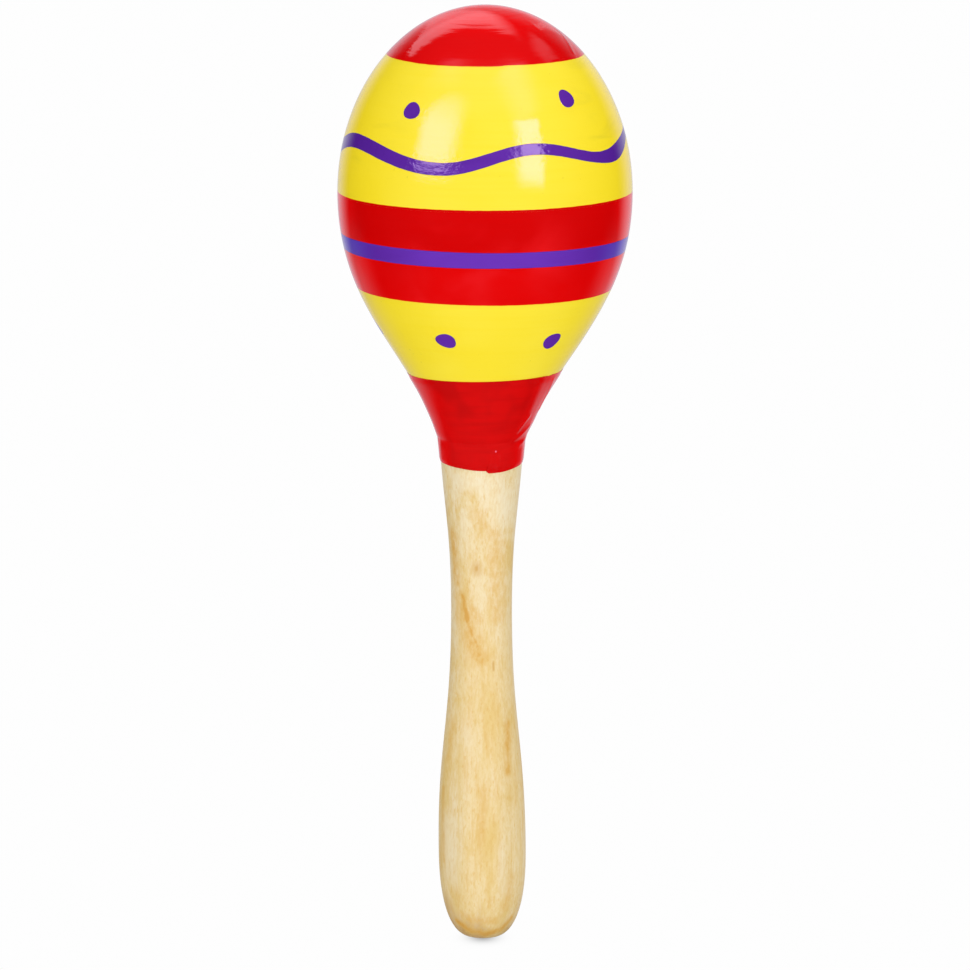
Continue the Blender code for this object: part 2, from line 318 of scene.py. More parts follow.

# Where paint and wood change over, and where painted shade and painted light come in: the distance or height
# where a change starts, and where it is full
SIDE_SHADE_FADE = (0.012, 0.036)
STRIPE_SHEEN_FADE = (0.028, 0.037)
CAP_FADE = (0.238, 0.243)
CLEAR_RED_FADE = (0.194, 0.186)
HIGH_SHADE_SIDE_FADE = (0.01, 0.025)
HIGH_SHADE_HEIGHT_FADE = (0.176, 0.194)
SHEEN_SIDE_FADE = (0.027, 0.01)
SHEEN_HEIGHT_FADE = (0.208, 0.194)
LOW_SIDE_LIGHT_FADE = (0.026, 0.035)
LOW_LIGHT_HEIGHT_FADE = (0.196, 0.188)
RIM_LIGHT_FADE = (0.033, 0.038)
CROWN_LIGHT_FADE = (0.246, 0.2525)
CAP_LUMPS_FADE = (0.019, 0.01)
CRINKLE_FADE = (0.037, 0.028)
BUTT_FADE = (0.019, 0.03)
CREAM_FADE = (0.09, 0.155)
LOW_HALF_FADE = (0.125, 0.07)
HANDLE_SIDE_FADE = (0.0025, 0.0075)

# Paint edges in millimetres, and gloss
PAINT_EDGE = 0.07
PAINT_FRAY = 0.16
PAINT_ROUGHNESS = (0.05, 0.10)
WRAP_ROUGHNESS = (0.09, 0.15)
WRAP_IOR = 1.72
VARNISH_ROUGHNESS = (0.34, 0.48)
VARNISH_SHINE = 0.25
RAW_WOOD_ROUGHNESS = 0.75
SEED_ROUGHNESS = 0.42

# Floor, with a soft shadow at the butt
FLOOR_REACH = 3.0
FLOOR_WHITE = 0.99
SHADOW_STRENGTH = 0.58
SHADOW_X = -0.6 * MM
SHADOW_Y = -2.0 * MM
SHADOW_HALF_WIDTH = 3.7 * MM
SHADOW_HALF_DEPTH = 5.8 * MM
# Where the floor's light changes over: twice going out from the butt, to the front and to the sides
FLOOR_NEAR_FADE = (0.004, 0.02)
FLOOR_FAR_FADE = (0.03, 0.1)
FLOOR_FRONT_FADE = (0.12, -0.12)
FLOOR_SIDE_FADE = (0.03, 0.25)

# What the gloss shows of the lamps and of the room, linear
GLEAM = (0.88, 0.62, 1.0)
YELLOW_GLEAM = (1, 0.40, 1, 1)
ROOM = (0.94, 0.93, 1.04, 1)
WHITE = (1, 1, 1, 1)

# Lamps that the gloss shows: name, azimuth, elevation, size, radiance, fades of the edges, leans, roll
HEAD_MIDDLE = Vector((0, 0, 0.2))
LAMP_DISTANCE = 1.0
LAMPS = [
    ("left_softbox", -41, 30.6, (0.76, 1.06), 7.3, (0.26, 0.40, 0.33, 0.51), (0.85, 0), 0),
    ("right_strip", 36.3, 19.7, (0.485, 0.68), 8.4, (0.41, 0.18, 0.29, 0.06), (0, 0), -6),
    ("left_glow", -62, 62, (0.62, 0.40), 0.7, (0.5, 0.5, 0.5, 0.5), (0, 0), 0),
    ("right_glow", 46, 53, (0.76, 0.58), 1.7, (0.45, 0.45, 0.12, 0.10), (0, 0.15), 0),
]
LEFT_EDGE_BEND = 6.0
# Lamp behind, which the gloss does not show: azimuth, elevation, distance, height
FILL_SPOT = (180, 20, 1.8, 0.15)
FILL_SIZE = (1.2, 1.2)
FILL_RADIANCE = 2.8

# Camera, as in the photograph
CAMERA_TARGET = Vector((0, 0, 0.12429))
CAMERA_DISTANCE = 2.1511
CAMERA_ELEVATION = radians(10.3)
CAMERA_LENS = 296.907
SENSOR_WIDTH = 36.0
CAMERA_CLIP = 20


def clamp(share):
    return min(max(share, 0), 1)


def smooth(share):
    """An even rise from 0 to 1 with soft ends."""
    share = clamp(share)
    return share * share * (3 - 2 * share)


def bell(offset, width):
    """A soft mark's strength: 1 in its middle, falling away on both sides."""
    return exp(-((offset / width) ** 2))


def along(points, at, ease=clamp):
    """The value at a place in a list of rising (place, value) points, straight between them or eased."""
    places = [point[0] for point in points]
    i = min(max(bisect(places, at), 1), len(points) - 1)
    (x0, y0), (x1, y1) = points[i - 1], points[i]
    return y0 + (y1 - y0) * ease((at - x0) / (x1 - x0))


def turn_between(angle, start):
    """The turn in degrees from one angle to another, from -180 to 180."""
    return (angle - start + 180) % 360 - 180


def hand_wobble(angle, seed):
    """An uneven hand's small wander round the axis, from about -1 to 1."""
    turn = radians(angle)
    slow = 0.5 * sin(2 * turn + seed)
    brisk = 0.3 * sin(5 * turn + 2.1 * seed)
    quick = 0.2 * sin(9 * turn + seed)
    return slow + brisk + quick


def place(radius, angle, height):
    """A point at a distance from the axis, with the handle's small lean."""
    turn = radians(angle)
    lean = along(LEAN, height / MM, smooth) * MM
    return (lean + radius * sin(turn), -radius * cos(turn), height)


def curve(start, start_pull, end_pull, end, steps=200):
    """Radius and height points of a cubic curve, with both ends."""
    start = Vector(start)
    end = Vector(end)
    points = interpolate_bezier(start, start + Vector(start_pull), end + Vector(end_pull), end, steps + 1)
    return [(point.x, point.y) for point in points]


def lengths_along(points):
    """The length of a line of points from its start to each of them."""
    lengths = [0]
    for (r0, z0), (r1, z1) in zip(points, points[1:]):
        lengths.append(lengths[-1] + hypot(r1 - r0, z1 - z0))
    return lengths


def spaced(points, spacing):
    """The same line with its points evenly spaced, and both ends kept."""
    lengths = lengths_along(points)
    steps = max(1, round(lengths[-1] / spacing))
    made = []
    for step in range(steps + 1):
        at = lengths[-1] * step / steps
        i = min(max(bisect(lengths, at), 1), len(points) - 1)
        share = (at - lengths[i - 1]) / (lengths[i] - lengths[i - 1])
        made.append(tuple(a + (b - a) * share for a, b in zip(points[i - 1], points[i])))
    return made


def quarter(radius, height, squareness, steps=400):
    """A quarter of a squarish ellipse, from its side to its top."""
    power = 2 / squareness
    points = []
    for step in range(steps + 1):
        turn = pi / 2 * step / steps
        points.append((radius * max(cos(turn), 0) ** power, height * sin(turn) ** power))
    points[-1] = (0, height)
    return points


def radius_at(outline, height):
    """The radius of an outline of rising points at a height."""
    return along([(z, r) for r, z in outline], height)


def inset(outline, depth):
    """The outline of rising points, moved towards the axis along its normals."""
    moved = []
    for i, (radius, height) in enumerate(outline):
        before = Vector(outline[max(i - 1, 0)])
        after = Vector(outline[min(i + 1, len(outline) - 1)])
        slope = (after - before).normalized()
        moved.append((radius - depth * slope.y, height + depth * slope.x))
    return moved


def bowl_curve():
    rise = (NECK_PULL * sin(BOWL_SLOPE), NECK_PULL * cos(BOWL_SLOPE))
    return curve((NECK_RADIUS, NECK_Z), rise, (0, -SEAM_PULL), (HEAD_RADIUS, SEAM_Z))


def dome_curve():
    return [(r, RIM_Z + z) for r, z in quarter(HEAD_RADIUS, CROWN_Z - RIM_Z, DOME_SQUARENESS)]


def handle_curve():
    """From the rim of the flat on the butt up to the shoulder."""
    swell = quarter(BULB_RADIUS - BUTT_FLAT_RADIUS, BULB_Z, BUTT_SQUARENESS)
    butt = [(BUTT_FLAT_RADIUS + r, BULB_Z - z) for r, z in reversed(swell)]
    bulb = (BULB_RADIUS, BULB_Z)
    waist = (WAIST_RADIUS, WAIST_Z)
    drop = (-SHOULDER_PULL * sin(SHOULDER_SLOPE), -SHOULDER_PULL * cos(SHOULDER_SLOPE))
    grip = curve(bulb, (0, BULB_PULL), (0, -WAIST_LOWER_PULL), waist)
    neck = curve(waist, (0, WAIST_UPPER_PULL), drop, (NECK_RADIUS, HANDLE_TOP_Z))
    return butt + grip[1:] + neck[1:]


def add_object(name, data):
    obj = bpy.data.objects.new(name, data)
    scene.collection.objects.link(obj)
    return obj


def add_mesh(name, points, faces, materials):
    mesh = bpy.data.meshes.new(name)
    mesh.from_pydata(points, [], faces)
    for material in materials:
        mesh.materials.append(material)
    mesh.shade_smooth()
    return add_object(name, mesh)


def add_attribute(mesh, name, values):
    mesh.attributes.new(name, "FLOAT", "POINT").data.foreach_set("value", values)


def add_map(obj, places):
    """A flat layout of the piece: places holds each face's corners."""
    layer = obj.data.uv_layers.new(name="OFBake")
    layer.uv.foreach_set("vector", [number for face in places for corner in face for number in corner])


def map_heights(outline, outside):
    """How far up the flat layout each point of an outline lies: the outside gets most of it."""
    lengths = lengths_along(outline)
    end = lengths[outside - 1]
    start = lengths[outside]
    rest = lengths[-1] - start
    room = 1 - INSIDE_MAP_START
    outer = [OUTSIDE_MAP_SHARE * length / end for length in lengths[:outside]]
    inner = [INSIDE_MAP_START + room * (length - start) / rest for length in lengths[outside:]]
    return outer + inner


def turned(name, outside, inside, closed, columns, materials, marks):
    """A solid turned about Z: its outside wears the first material, the rest of it the second.

    marks gives each outside point's named values from its angle and its height, both in the pattern's units.
    """
    outline = outside + inside
    layout = map_heights(outline, len(outside))
    points = []
    rows = []
    values = {key: [] for key in marks(0, outside[0][1] / MM)}
    bare = {key: OFF_PATTERN for key in values}
    for i, (radius, height) in enumerate(outline):
        around = 1 if radius == 0 else columns
        rows.append([len(points) + j % around for j in range(columns + 1)])
        for j in range(around):
            angle = 360 * j / columns - 180
            points.append(place(radius, angle, height))
            found = marks(angle, height / MM) if i < len(outside) else bare
            for key, value in found.items():
                values[key].append(value)
    if closed:
        outline.append(outline[0])
        rows.append(rows[0])
        layout.append(1.0)
    faces = []
    places = []
    slots = []
    for low in range(len(outline) - 1):
        high = low + 1
        if outline[low][0] == 0 and outline[high][0] == 0:
            continue
        for j in range(columns):
            corners = [(low, j), (low, j + 1), (high, j + 1), (high, j)]
            if outline[low][0] == 0:
                corners = [(low, j + 0.5), (high, j + 1), (high, j)]
            elif outline[high][0] == 0:
                corners = [(low, j), (low, j + 1), (high, j + 0.5)]
            faces.append([rows[row][int(column)] for row, column in corners])
            places.append([(column / columns, layout[row]) for row, column in corners])
            slots.append(0 if high < len(outside) else 1)
    obj = add_mesh(name, points, faces, materials)
    obj.data.polygons.foreach_set("material_index", slots)
    add_map(obj, places)
    for key, numbers in values.items():
        add_attribute(obj.data, key, numbers)
    obj.data.set_sharp_from_angle(angle=SHARP_ANGLE)
    return obj


def wave_height(angle):
    """The middle of the wavy line at an angle, with the line's slope in millimetres per degree."""
    first = WAVE_TURNS[0][0]
    at = (angle - first) % 360 + first
    for (a0, z0), (a1, z1) in zip(WAVE_TURNS, WAVE_TURNS[1:]):
        if at <= a1:
            break
    share = (at - a0) / (a1 - a0)
    height = z0 + (z1 - z0) * (1 - cos(pi * share)) / 2
    return height, (z1 - z0) * pi / 2 * sin(pi * share) / (a1 - a0)


def dot_depth(dots, radius, stretch, angle, height):
    """How far inside the nearest dot a place on the head is, in millimetres."""
    deepest = OFF_PATTERN
    for dot_angle, dot_height, half_width, half_height, tilt in dots:
        across = radians(turn_between(angle, dot_angle)) * radius
        up = (height - dot_height) * stretch
        if abs(across) > DOT_REACH or abs(up) > DOT_REACH:
            continue
        turn = radians(tilt)
        u = (across * cos(turn) + up * sin(turn)) / half_width
        v = (up * cos(turn) - across * sin(turn)) / half_height
        edge = 1 + DOT_UNEVENNESS * sin(3 * atan2(v, u) + dot_angle)
        deepest = max(deepest, (edge - hypot(u, v)) * min(half_width, half_height))
    return deepest


def dome_marks(angle, height):
    """How deep inside each paint a place on the dome is, and how strong its folds are."""
    dip = smooth((angle - CAP_DIP_LEFT) / CAP_DIP_LEFT_FADE)
    dip *= smooth((CAP_DIP_RIGHT - angle) / CAP_DIP_RIGHT_FADE)
    cap = height - CAP_EDGE + CAP_DIP * dip - CAP_WOBBLE * hand_wobble(angle, 1.0)
    band = BAND_TOP + BAND_TOP_WOBBLE * hand_wobble(angle, 2.0) - height
    radius = radius_at(DOME_RISE, height * MM) / MM
    middle, slope = wave_height(angle)
    slant = hypot(1, slope / (radians(1) * radius))
    swell = WAVE_SWELL * bell(turn_between(angle, WAVE_SWELL_ANGLE), WAVE_SWELL_TURN)
    half = WAVE_HALF_WIDTH + swell + PAINT_WOBBLE * hand_wobble(angle, 3.4)
    half -= WAVE_SKEW * sin(radians(angle))
    wave = half - abs(height - middle) / slant if height < CAP_EDGE else OFF_PATTERN
    dots = dot_depth(DOME_DOTS, radius, DOME_DOT_STRETCH, angle, height)
    fold = strongest(CAP_FOLDS, angle, height, radius) if height > CAP_EDGE - FOLD_MARGIN else 0.0
    return {"red": max(cap, band), "violet": max(wave, dots), "stripe": OFF_PATTERN, "fold": fold}


def bowl_marks(angle, height):
    """How deep inside each paint a place on the bowl is."""
    tilt = sin(radians(angle))
    band = height - BAND_BOTTOM + BAND_TILT * tilt - PAINT_WOBBLE * hand_wobble(angle, 4.0)
    radius = radius_at(BOWL_RISE, height * MM) / MM
    top = STRIPE_TOP - STRIPE_TILT * tilt + PAINT_WOBBLE * hand_wobble(angle, 5.0)
    bottom = STRIPE_BOTTOM - STRIPE_TILT * tilt + PAINT_WOBBLE * hand_wobble(angle, 6.0)
    dots = dot_depth(BOWL_DOTS, radius, BOWL_DOT_STRETCH, angle, height)
    return {"red": band, "violet": dots, "stripe": min(top - height, height - bottom), "fold": 0.0}


def line_distance(angle, height, radius, line):
    """The distance on a turned surface from a place to a line of angles and heights."""
    best = FAR_OFF
    for (a0, z0), (a1, z1) in zip(line, line[1:]):
        to_place = Vector((radians(turn_between(angle, a0)) * radius, height - z0))
        to_end = Vector((radians(a1 - a0) * radius, z1 - z0))
        share = clamp(to_place.dot(to_end) / max(to_end.length_squared, SHORTEST))
        best = min(best, (to_place - to_end * share).length)
    return best


def reaches(line, width, height):
    """Whether a soft line mark can show at a height."""
    heights = [point[1] for point in line]
    return min(heights) - MARK_REACH * width < height < max(heights) + MARK_REACH * width


def strongest(marks, angle, height, radius):
    """The strongest of several soft line marks at a place."""
    found = 0.0
    for strength, width, line in marks:
        if reaches(line, width, height):
            found = max(found, strength * bell(line_distance(angle, height, radius, line), width))
    return found


def handle_marks(angle, height):
    """How strong the stains, the pale patches and the knots are at a place on the handle."""
    radius = radius_at(HANDLE_RISE, height * MM) / MM
    kinds = {"stain": STAINS, "pale": PALE_PATCHES_AND_REFLECTIONS, "knot": KNOTS}
    return {name: strongest(marks, angle, height, radius) for name, marks in kinds.items()}


# Outlines that the pattern and the wrap are measured on
BOWL_RISE = bowl_curve()
DOME_RISE = dome_curve()[:-1]
HANDLE_RISE = handle_curve()


def linear(channel):
    """One sRGB channel, 0 to 255, as the linear value that a shader takes."""
    share = channel / 255
    return share / 12.92 if share <= 0.04045 else ((share + 0.055) / 1.055) ** 2.4


def shader_colour(value):
    """An sRGB triple as a linear colour. A socket or a linear colour stays as it is."""
    if isinstance(value, tuple) and len(value) == 3:
        return (*map(linear, value), 1)
    return value


class Graph:
    """A node tree with short ways to add the nodes that this scene uses."""

    def __init__(self, tree):
        self.tree = tree

    def add(self, kind, inputs=None, **settings):
        made = self.tree.nodes.new("ShaderNode" + kind)
        for name, value in settings.items():
            setattr(made, name, value)
        for key, value in (inputs or {}).items():
            if isinstance(value, bpy.types.NodeSocket):
                self.tree.links.new(value, made.inputs[key])
            else:
                made.inputs[key].default_value = value
        return made

    def math(self, operation, *values):
        return self.add("Math", dict(enumerate(values)), operation=operation).outputs[0]

    def chain(self, operation, values):
        total = values[0]
        for value in values[1:]:
            total = self.math(operation, total, value)
        return total

    def sum(self, *values):
        return self.chain("ADD", values)

    def product(self, *values):
        return self.chain("MULTIPLY", values)

    def highest(self, *values):
        return self.chain("MAXIMUM", values)

    def scaled(self, value, factor, offset):
        return self.math("MULTIPLY_ADD", value, factor, offset)

    def size(self, value):
        return self.math("ABSOLUTE", value)

    def choose(self, share, first, second):
        """A number between two others."""
        return self.add("Mix", {0: share, 2: first, 3: second}, data_type="FLOAT").outputs[0]

    def mix(self, share, first, second, mode="MIX"):
        inputs = {0: share, 6: shader_colour(first), 7: shader_colour(second)}
        return self.add("Mix", inputs, data_type="RGBA", blend_type=mode).outputs[2]

    def rise(self, value, low, high, to=1.0):
        """0 below low, to above high, with soft ends."""
        inputs = {"Value": value, "From Min": low, "From Max": high, "To Max": to}
        return self.add("MapRange", inputs, interpolation_type="SMOOTHSTEP").outputs[0]

    def level(self, share, lowest, highest):
        """A straight rise from lowest to highest."""
        return self.add("MapRange", {"Value": share, "To Min": lowest, "To Max": highest}).outputs[0]

    def coat(self, ground, paint, value, low, high, cover=1.0):
        """Paint over a ground where a value rises."""
        return self.mix(self.rise(value, low, high, cover), ground, paint)

    def attribute(self, name):
        return self.add("Attribute", attribute_name=name).outputs["Fac"]

    def coordinates(self, stretch=(1, 1, 1)):
        """The piece's own coordinates, times a number along each axis."""
        place_of = self.add("TexCoord").outputs["Object"]
        return self.add("Mapping", {"Vector": place_of, "Scale": stretch}).outputs[0]

    def axes(self, vector=None):
        """The three numbers of a vector, or of the piece's own coordinates."""
        return self.add("SeparateXYZ", {0: vector or self.coordinates()}).outputs

    def distance(self, stretch=(1, 1, 1)):
        """The distance from the piece's origin."""
        return self.add("VectorMath", {0: self.coordinates(stretch)}, operation="LENGTH").outputs["Value"]

    def noise(self, stretch, detail=3.0, rough=0.55, wander=0.0):
        inputs = {"Vector": self.coordinates(stretch), "Scale": 1.0, "Detail": detail}
        inputs |= {"Roughness": rough, "Distortion": wander}
        return self.add("TexNoise", inputs).outputs[0]

    def bump(self, height):
        """A bump from a height in millimetres."""
        return self.add("Bump", {"Strength": 1.0, "Distance": MM, "Height": height}).outputs[0]


def new_material(name):
    """A material, its graph and its shader."""
    material = bpy.data.materials.new(name)
    material.use_nodes = True
    shader = material.node_tree.nodes["Principled BSDF"]
    return material, Graph(material.node_tree), shader


def wire(graph, shader, **sockets):
    for name, value in sockets.items():
        graph.tree.links.new(value, shader.inputs[name.replace("_", " ")])


def yellow_ground(g, side, streaks, smears, patches):
    """Yellow, deeper in patches and deeper towards the sides as painted shade, with faint olive smears
    towards the sides, and grains.
    """
    grains = g.noise((900, 900, 900), detail=1)
    # Painted shade: the yellow deepens towards the sides
    yellow = g.mix(g.product(side, 0.85), YELLOW, YELLOW_DEEP)
    yellow = g.coat(yellow, YELLOW_DEEP, patches, 0.42, 0.68, 0.45)
    yellow = g.coat(yellow, YELLOW_DEEP, streaks, 0.42, 0.72, 0.25)
    smeared = g.product(g.rise(smears, 0.5, 0.75, 0.5), g.rise(side, 0.1, 0.9, 0.5))
    yellow = g.mix(smeared, yellow, OLIVE)
    return g.coat(yellow, OLIVE, grains, 0.77, 0.81, 0.35)


def red_bands(g, aside, height, cap, streaks, patches):
    """Red: deeper in patches above the stripe, painted shade at the upper sides and in the cap's folds, a
    patchy painted sheen on the lower band, and painted light at the far sides and crown.
    """
    clear = g.highest(cap, g.rise(height, *CLEAR_RED_FADE, 0.9))
    thin = g.scaled(g.sum(patches, g.product(streaks, 0.4)), -0.8, 0.75)
    red = g.mix(g.sum(clear, thin), RED_DEEP, RED)
    # The cap's own red, with a faint painted glow
    red = g.mix(cap, red, RED_CAP_WITH_GLOW)
    # Painted shade: the upper band and the cap deepen towards the sides
    high_side_shade = g.product(g.rise(aside, *HIGH_SHADE_SIDE_FADE, 0.55), g.rise(height, *HIGH_SHADE_HEIGHT_FADE))
    red = g.mix(high_side_shade, red, RED_DEEP)
    # Painted sheen: patchy pink over the middle of the lower band, front and back
    sheen_patches = g.rise(g.noise((42, 42, 60), detail=3, wander=0.4), 0.38, 0.66, 0.85)
    front_sheen = g.product(sheen_patches, g.rise(aside, *SHEEN_SIDE_FADE), g.rise(height, *SHEEN_HEIGHT_FADE))
    red = g.mix(front_sheen, red, RED_SHEEN)
    # Painted light: brighter red at the far sides, at the lower band's sides and on the crown
    low_side_light = g.product(g.rise(aside, *LOW_SIDE_LIGHT_FADE), g.rise(height, *LOW_LIGHT_HEIGHT_FADE))
    rim = g.highest(g.rise(aside, *RIM_LIGHT_FADE), low_side_light, g.rise(height, *CROWN_LIGHT_FADE))
    red = g.mix(rim, red, RED_SIDE_LIGHT)
    # Painted shade in the cap's folds
    return g.coat(red, RED_FOLD_SHADE, g.attribute("fold"), 0.86, 1.0, 0.7)


def violet_line(g, side, smears):
    """Violet of the wavy line and the dots, deeper towards the sides as painted shade, with a dark edge."""
    violet = g.coat(VIOLET, VIOLET_DEEP, smears, 0.5, 0.72, 0.4)
    # Painted shade: the violet deepens towards the sides
    violet = g.mix(g.product(side, 0.85), violet, VIOLET_DEEP)
    return g.coat(violet, LINE_EDGE, g.attribute("violet"), 0.2, 0.04, 0.6)


def violet_stripe(g, side, aside, smears):
    """Violet of the stripe, deeper towards the sides as painted shade, bluer near its edges, with a bluish
    painted sheen at the far sides and a dark edge.
    """
    stripe = g.coat(STRIPE_VIOLET, VIOLET, smears, 0.42, 0.7, 0.4)
    # Painted shade: the stripe deepens towards the sides
    stripe = g.mix(g.product(side, 0.7), stripe, VIOLET_DEEP)
    # Bluer near the stripe's edges, and at the far sides as a painted sheen
    bluish = g.highest(g.rise(g.attribute("stripe"), 0.5, 0.05, 0.7), g.rise(aside, *STRIPE_SHEEN_FADE, 0.6))
    stripe = g.mix(bluish, stripe, STRIPE_BLUE)
    return g.coat(stripe, LINE_EDGE, g.attribute("stripe"), 0.24, 0.04, 0.75)


def crown_strokes(g, across, deep):
    """Brush strokes that go round the crown."""
    spot = g.add("CombineXYZ", {
        0: g.product(g.distance((1, 1, 0)), 800.0),
        1: g.product(across, 50.0),
        2: g.product(deep, 50.0),
    }).outputs[0]
    return g.add("TexNoise", {"Vector": spot, "Scale": 1.0, "Detail": 3.0}).outputs[0]


def lacquer_relief(g, across, deep, cap, streaks, patches, coats):
    """The paint's unevenness: brush marks and lumps on the cap, crinkles, folds and the coats' edges."""
    violet_edge = coats[-1]
    broad = g.product(g.noise((110, 110, 110), detail=1), 0.06)
    uneven = g.product(cap, g.rise(across, *CAP_LUMPS_FADE))
    strokes = g.product(crown_strokes(g, across, deep), uneven)
    brushed = g.scaled(strokes, 0.08, g.product(streaks, 0.003))
    lumpy = g.product(g.noise((60, 60, 130), detail=2), uneven, 0.1)
    crinkle_depth = g.sum(
        g.rise(g.attribute("violet"), -5.0, 0.2, 0.08),
        g.product(violet_edge, 0.06),
        g.rise(patches, 0.4, 0.66, 0.06),
    )
    calm = g.rise(g.size(across), *CRINKLE_FADE)
    crinkled = g.product(g.noise((560, 560, 850), detail=2), crinkle_depth, calm)
    thick = g.product(g.sum(*coats), 0.012)
    folds = g.product(g.attribute("fold"), 0.1)
    return g.bump(g.sum(broad, brushed, lumpy, crinkled, thick, folds))


def head_lacquer():
    """Gloss paint: yellow ground, red bands, violet line, dots and stripe."""
    material, g, shader = new_material("head_lacquer")
    across, deep, height = g.axes()
    aside = g.size(across)
    # How far towards the sides: the paint deepens there as painted shade
    side = g.rise(aside, *SIDE_SHADE_FADE)
    cap = g.rise(height, *CAP_FADE)
    streaks = g.noise((22, 22, 700), detail=4)
    smears = g.noise((45, 45, 170), detail=3, wander=0.4)
    patches = g.noise((28, 28, 40), detail=2)
    frayed = g.scaled(g.noise((420, 420, 420), detail=2), PAINT_FRAY, -PAINT_FRAY / 2)
    coats = []
    for name in ("red", "stripe", "violet"):
        coats.append(g.rise(g.sum(g.attribute(name), frayed), -PAINT_EDGE, PAINT_EDGE))
    red_edge, stripe_edge, violet_edge = coats
    paint = yellow_ground(g, side, streaks, smears, patches)
    paint = g.mix(red_edge, paint, red_bands(g, aside, height, cap, streaks, patches))
    paint = g.mix(stripe_edge, paint, violet_stripe(g, side, aside, smears))
    paint = g.mix(violet_edge, paint, violet_line(g, side, smears))
    relief = lacquer_relief(g, across, deep, cap, streaks, patches, coats)
    rough = g.level(smears, *PAINT_ROUGHNESS)
    gleam = g.mix(g.highest(red_edge, violet_edge), YELLOW_GLEAM, WHITE)
    wire(g, shader, Base_Color=paint, Roughness=rough, Normal=relief, Specular_Tint=gleam)
    return material


def wrap_paint():
    """Red gloss paint over a glued strip, brighter towards the sides as painted light, with the strip's faint
    fibre under it.
    """
    material, g, shader = new_material("wrap_paint")
    streaks = g.noise((60, 60, 500), detail=3)
    patches = g.noise((90, 90, 60), detail=2)
    weave = g.noise((900, 900, 260), detail=2)
    lumps = g.noise((260, 260, 200), detail=2)
    red = g.coat(WRAP_RED, WRAP_RED_DEEP, streaks, 0.4, 0.72, 0.5)
    red = g.coat(red, WRAP_RED_DEEP, patches, 0.47, 0.66, 0.8)
    # Painted light: the red brightens towards the sides
    sideways = g.math("DIVIDE", g.size(g.axes()[0]), g.distance((1, 1, 0)))
    red = g.coat(red, WRAP_RED_SIDE_LIGHT, sideways, 0.6, 0.97)
    bumps = g.sum(g.product(weave, 0.004), g.product(patches, 0.1), g.product(lumps, 0.035))
    rough = g.level(patches, *WRAP_ROUGHNESS)
    shader.inputs["IOR"].default_value = WRAP_IOR
    wire(g, shader, Base_Color=red, Roughness=rough, Normal=g.bump(bumps))
    return material


def wood_figure(g, wood, mottle, fibre, low_half):
    """Honey clouds, pale bands, streaks, specks, fibres and flecks over the ground colour."""
    wood = g.coat(wood, WOOD_HONEY, mottle, 0.44, 0.68, 0.8)
    pale = g.noise((170, 170, 36), detail=3)
    wood = g.coat(wood, WOOD_PALE, pale, 0.5, 0.72, 0.55)
    streaks = g.noise((330, 330, 13), detail=4, rough=0.6)
    drawn = g.scaled(low_half, 0.4, 0.1)
    wood = g.mix(g.product(g.rise(streaks, 0.46, 0.68), drawn), wood, WOOD_HONEY)
    specks = g.noise((1350, 1350, 430), detail=3, rough=0.7)
    crowd = g.scaled(g.rise(mottle, 0.36, 0.62), 0.26, 0.16)
    wood = g.mix(g.product(g.rise(specks, 0.45, 0.66), crowd), wood, WOOD_FLECK)
    dust = g.noise((1700, 1700, 560), detail=2, rough=0.6)
    wood = g.coat(wood, WOOD_HONEY, dust, 0.42, 0.64, 0.36)
    combed = g.scaled(low_half, 0.22, 0.1)
    wood = g.mix(g.product(g.rise(fibre, 0.48, 0.72), combed), wood, WOOD_AMBER)
    flecks = g.noise((1500, 1500, 420), detail=1)
    return g.coat(wood, WOOD_AMBER, flecks, 0.63, 0.72, 0.36)


def wood_marks(g, wood, mottle):
    """Ragged stains, soft pale patches, two of them painted reflections of the lamps, and knots."""
    ragged = g.scaled(g.noise((520, 520, 300), detail=5, rough=0.7), 2.6, -0.22)
    stain = g.product(g.attribute("stain"), ragged)
    wood = g.coat(wood, WOOD_AMBER, stain, 0.05, 0.8, 0.8)
    wood = g.coat(wood, WOOD_RUST, stain, 0.5, 1.0, 0.6)
    softened = g.scaled(mottle, -1.2, 1.2)
    # Pale patches, two of them painted reflections of the lamps
    wood = g.mix(g.product(g.attribute("pale"), softened), wood, WOOD_PALE)
    return g.coat(wood, WOOD_BROWN, g.attribute("knot"), 0.05, 1.0, 0.9)


def handle_wood():
    """Pale turned wood under clear satin varnish: cream near the neck, golden lower down, darker at the butt
    from stain and painted shade, with painted shade on its sides.
    """
    material, g, shader = new_material("handle_wood")
    across, _, height = g.axes()
    cloud = g.noise((60, 60, 24), detail=2, wander=0.5)
    mottle = g.noise((140, 140, 54), detail=6, rough=0.66, wander=0.3)
    fibre = g.noise((950, 950, 55), detail=3, rough=0.6)
    upward = g.scaled(cloud, 0.04, height)
    # Darker near the butt: end-grain stain, and painted shade near the floor
    wood = g.coat(WOOD_BUTT_STAIN_AND_SHADE, WOOD_GOLD, upward, *BUTT_FADE)
    wood = g.coat(wood, WOOD_CREAM, upward, *CREAM_FADE)
    wood = wood_figure(g, wood, mottle, fibre, g.rise(upward, *LOW_HALF_FADE))
    wood = wood_marks(g, wood, mottle)
    # Painted shade: the handle's sides are darkened
    edge = g.rise(g.size(g.sum(across, HANDLE_OFFSET)), *HANDLE_SIDE_FADE)
    wood = g.mix(edge, wood, HANDLE_SIDE_SHADE, "MULTIPLY")
    grain = g.product(fibre, 0.008)
    waves = g.product(g.noise((120, 120, 50), detail=1), 0.05)
    rough = g.level(mottle, *VARNISH_ROUGHNESS)
    shader.inputs["Specular IOR Level"].default_value = VARNISH_SHINE
    wire(g, shader, Base_Color=wood, Roughness=rough, Normal=g.bump(g.sum(grain, waves)))
    return material


